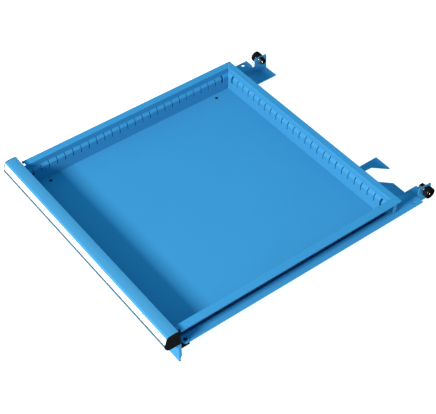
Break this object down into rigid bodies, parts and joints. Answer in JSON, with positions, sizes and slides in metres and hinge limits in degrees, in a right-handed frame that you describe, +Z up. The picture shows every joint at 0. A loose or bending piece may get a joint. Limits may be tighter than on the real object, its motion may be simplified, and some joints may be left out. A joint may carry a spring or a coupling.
{
  "type": "under desk drawer",
  "caption": "Shallow slotted sheet steel drawer with a label strip handle, carried under a desk or in a cabinet on side rails with rear rollers.",
  "frame": {"origin": "on the drawer's centre line, on the inside face of the front wall, level with the underside of the side rails", "axes": "+X to the right of a person facing the handle, +Y from the front to the rear (the way the drawer closes), +Z up"},
  "size_m": [0.5024, 0.5838, 0.0761],
  "materials": {
    "blue_paint": "satin powder coat on sheet steel",
    "handle_paint": "satin powder coat on the extruded handle",
    "label_paper": "blank white insert strip",
    "clear_cover": "clear label cover",
    "grey_bead": "grey retaining bead",
    "black_plastic": "moulded black plastic",
    "roller_rubber": "smooth black roller tyre",
    "bearing_steel": "ground bearing steel",
    "bright_steel": "bright plated steel",
    "black_screw": "blackened steel screws"
  },
  "bodies": {
    "drawer": {"cam_plate": "blue_paint", "end_cap_left": "black_plastic", "end_cap_right": "black_plastic", "front_panel": "blue_paint", "guide_block_left": "black_plastic", "guide_block_right": "black_plastic", "handle_profile": "handle_paint", "handle_screws": "black_screw", "label_bead": "grey_bead", "label_cover": "clear_cover", "label_insert": "label_paper", "rail_left": "blue_paint", "rail_right": "blue_paint", "rim_plug_left": "black_plastic", "rim_plug_right": "black_plastic", "roller_nut_left": "bright_steel", "roller_nut_right": "bright_steel", "roller_race_inner_left": "bearing_steel", "roller_race_inner_right": "bearing_steel", "roller_stud_left": "bright_steel", "roller_stud_right": "bright_steel", "roller_washer_left": "bright_steel", "roller_washer_right": "bright_steel", "tray_floor": "blue_paint", "tray_screws": "black_screw", "wall_front": "blue_paint", "wall_left": "blue_paint", "wall_rear": "blue_paint", "wall_right": "blue_paint"},
    "roller_left": {"roller_tyre_left": "roller_rubber", "roller_race_outer_left": "bearing_steel", "roller_balls_left": "bearing_steel"},
    "roller_right": {"roller_tyre_right": "roller_rubber", "roller_race_outer_right": "bearing_steel", "roller_balls_right": "bearing_steel"}
  },
  "joints": [
    {"name": "roller_left_spin", "type": "hinge", "parent": "drawer", "child": "roller_left", "pos_m": [-0.243, 0.541, 0.0273], "axis": [1, 0, 0], "continuous": true},
    {"name": "roller_right_spin", "type": "hinge", "parent": "drawer", "child": "roller_right", "pos_m": [0.243, 0.541, 0.0273], "axis": [1, 0, 0], "continuous": true}
  ]
}
